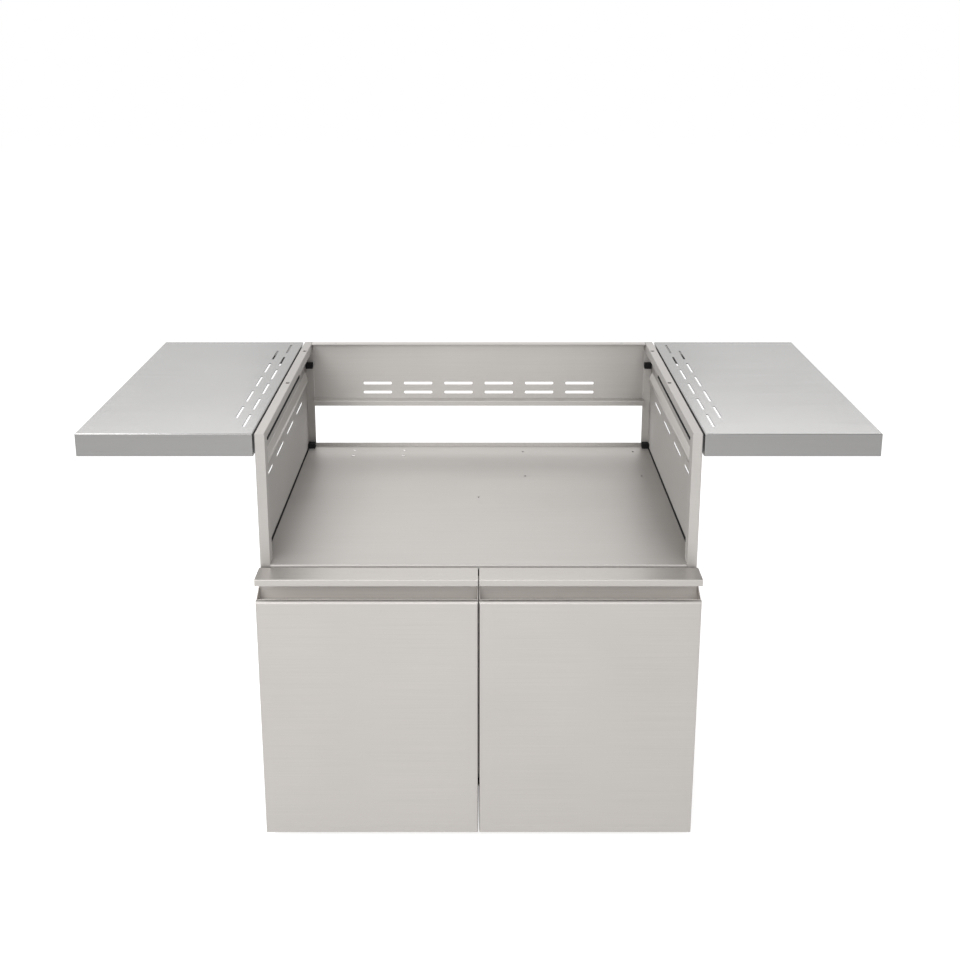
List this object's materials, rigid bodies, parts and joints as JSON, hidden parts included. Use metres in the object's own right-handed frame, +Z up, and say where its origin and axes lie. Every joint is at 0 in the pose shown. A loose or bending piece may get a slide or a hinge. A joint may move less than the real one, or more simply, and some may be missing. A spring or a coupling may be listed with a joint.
{
  "type": "grill cart",
  "caption": "Free-standing stainless cart for a built-in grill head: open well with slotted side shelves, double-door cabinet with finger-recess doors, on hidden swivel casters.",
  "frame": {"origin": "on the ground, under the middle of the cart's box", "axes": "+X to the right along the shelves, +Y from the doors to the back, +Z up"},
  "size_m": [1.6452, 0.74, 0.914],
  "materials": {
    "stainless_sheet": "satin brushed",
    "stainless_shelf": "satin brushed",
    "stainless_door": "satin brushed",
    "stainless_screw": "bright",
    "zinc_steel": "zinc plated",
    "black_rubber": "matt",
    "magnet_case": "moulded",
    "wheel_plastic": "moulded",
    "wheel_tyre": "smooth solid tyre",
    "brake_plastic": "moulded"
  },
  "bodies": {
    "cart": {"left_side_panel": "stainless_sheet", "right_side_panel": "stainless_sheet", "rear_upper_panel": "stainless_sheet", "rear_lower_panel": "stainless_sheet", "grill_deck": "stainless_sheet", "deck_screws": "stainless_screw", "cabinet_floor": "stainless_sheet", "centre_stile": "stainless_sheet", "door_magnets": "magnet_case", "door_bumpers": "black_rubber", "rear_buffers": "black_rubber", "left_shelf": "stainless_shelf", "right_shelf": "stainless_shelf", "left_shelf_angle": "zinc_steel", "right_shelf_angle": "zinc_steel", "shelf_bolts": "stainless_screw", "shelf_screws": "stainless_screw", "left_hinge_brackets": "zinc_steel", "right_hinge_brackets": "zinc_steel", "left_hinge_pins": "zinc_steel", "right_hinge_pins": "zinc_steel", "left_base_rail": "zinc_steel", "right_base_rail": "zinc_steel", "caster_plates": "zinc_steel", "caster_kingpins": "zinc_steel", "caster_bolts": "zinc_steel"},
    "left_door": {"left_door_skin": "stainless_door", "left_door_liner": "stainless_sheet", "left_door_lip": "stainless_door", "left_hinge_knuckles": "zinc_steel", "left_strike_plate": "zinc_steel"},
    "right_door": {"right_door_skin": "stainless_door", "right_door_liner": "stainless_sheet", "right_door_lip": "stainless_door", "right_hinge_knuckles": "zinc_steel", "right_strike_plate": "zinc_steel"},
    "front_left_swivel": {"front_left_caster_fork": "zinc_steel", "front_left_caster_axle": "zinc_steel", "front_left_brake_pin": "zinc_steel"},
    "front_left_wheel": {"front_left_caster_hub": "wheel_plastic", "front_left_caster_tyre": "wheel_tyre"},
    "front_left_brake": {"front_left_brake_pedal": "brake_plastic"},
    "front_right_swivel": {"front_right_caster_fork": "zinc_steel", "front_right_caster_axle": "zinc_steel", "front_right_brake_pin": "zinc_steel"},
    "front_right_wheel": {"front_right_caster_hub": "wheel_plastic", "front_right_caster_tyre": "wheel_tyre"},
    "front_right_brake": {"front_right_brake_pedal": "brake_plastic"},
    "rear_left_swivel": {"rear_left_caster_fork": "zinc_steel", "rear_left_caster_axle": "zinc_steel"},
    "rear_left_wheel": {"rear_left_caster_hub": "wheel_plastic", "rear_left_caster_tyre": "wheel_tyre"},
    "rear_right_swivel": {"rear_right_caster_fork": "zinc_steel", "rear_right_caster_axle": "zinc_steel"},
    "rear_right_wheel": {"rear_right_caster_hub": "wheel_plastic", "rear_right_caster_tyre": "wheel_tyre"}
  },
  "joints": [
    {"name": "left_door_hinge", "type": "hinge", "parent": "cart", "child": "left_door", "pos_m": [-0.4485, -0.3425, 0.34], "axis": [0, 0, -1], "range_deg": [0, 110]},
    {"name": "right_door_hinge", "type": "hinge", "parent": "cart", "child": "right_door", "pos_m": [0.4485, -0.3425, 0.34], "axis": [0, 0, 1], "range_deg": [0, 110]},
    {"name": "front_left_swivel_turn", "type": "hinge", "parent": "cart", "child": "front_left_swivel", "pos_m": [-0.385, -0.222, 0.085], "axis": [0, 0, 1], "continuous": true},
    {"name": "front_left_wheel_spin", "type": "hinge", "parent": "front_left_swivel", "child": "front_left_wheel", "pos_m": [-0.385, -0.194, 0.0375], "axis": [1, 0, 0], "continuous": true},
    {"name": "front_left_brake_press", "type": "hinge", "parent": "front_left_swivel", "child": "front_left_brake", "pos_m": [-0.385, -0.186, 0.0827], "axis": [-1, 0, 0], "range_deg": [0, 7]},
    {"name": "front_right_swivel_turn", "type": "hinge", "parent": "cart", "child": "front_right_swivel", "pos_m": [0.385, -0.222, 0.085], "axis": [0, 0, 1], "continuous": true},
    {"name": "front_right_wheel_spin", "type": "hinge", "parent": "front_right_swivel", "child": "front_right_wheel", "pos_m": [0.385, -0.194, 0.0375], "axis": [1, 0, 0], "continuous": true},
    {"name": "front_right_brake_press", "type": "hinge", "parent": "front_right_swivel", "child": "front_right_brake", "pos_m": [0.385, -0.186, 0.0827], "axis": [-1, 0, 0], "range_deg": [0, 7]},
    {"name": "rear_left_swivel_turn", "type": "hinge", "parent": "cart", "child": "rear_left_swivel", "pos_m": [-0.385, 0.28, 0.085], "axis": [0, 0, 1], "continuous": true},
    {"name": "rear_left_wheel_spin", "type": "hinge", "parent": "rear_left_swivel", "child": "rear_left_wheel", "pos_m": [-0.385, 0.308, 0.0375], "axis": [1, 0, 0], "continuous": true},
    {"name": "rear_right_swivel_turn", "type": "hinge", "parent": "cart", "child": "rear_right_swivel", "pos_m": [0.385, 0.28, 0.085], "axis": [0, 0, 1], "continuous": true},
    {"name": "rear_right_wheel_spin", "type": "hinge", "parent": "rear_right_swivel", "child": "rear_right_wheel", "pos_m": [0.385, 0.308, 0.0375], "axis": [1, 0, 0], "continuous": true}
  ]
}
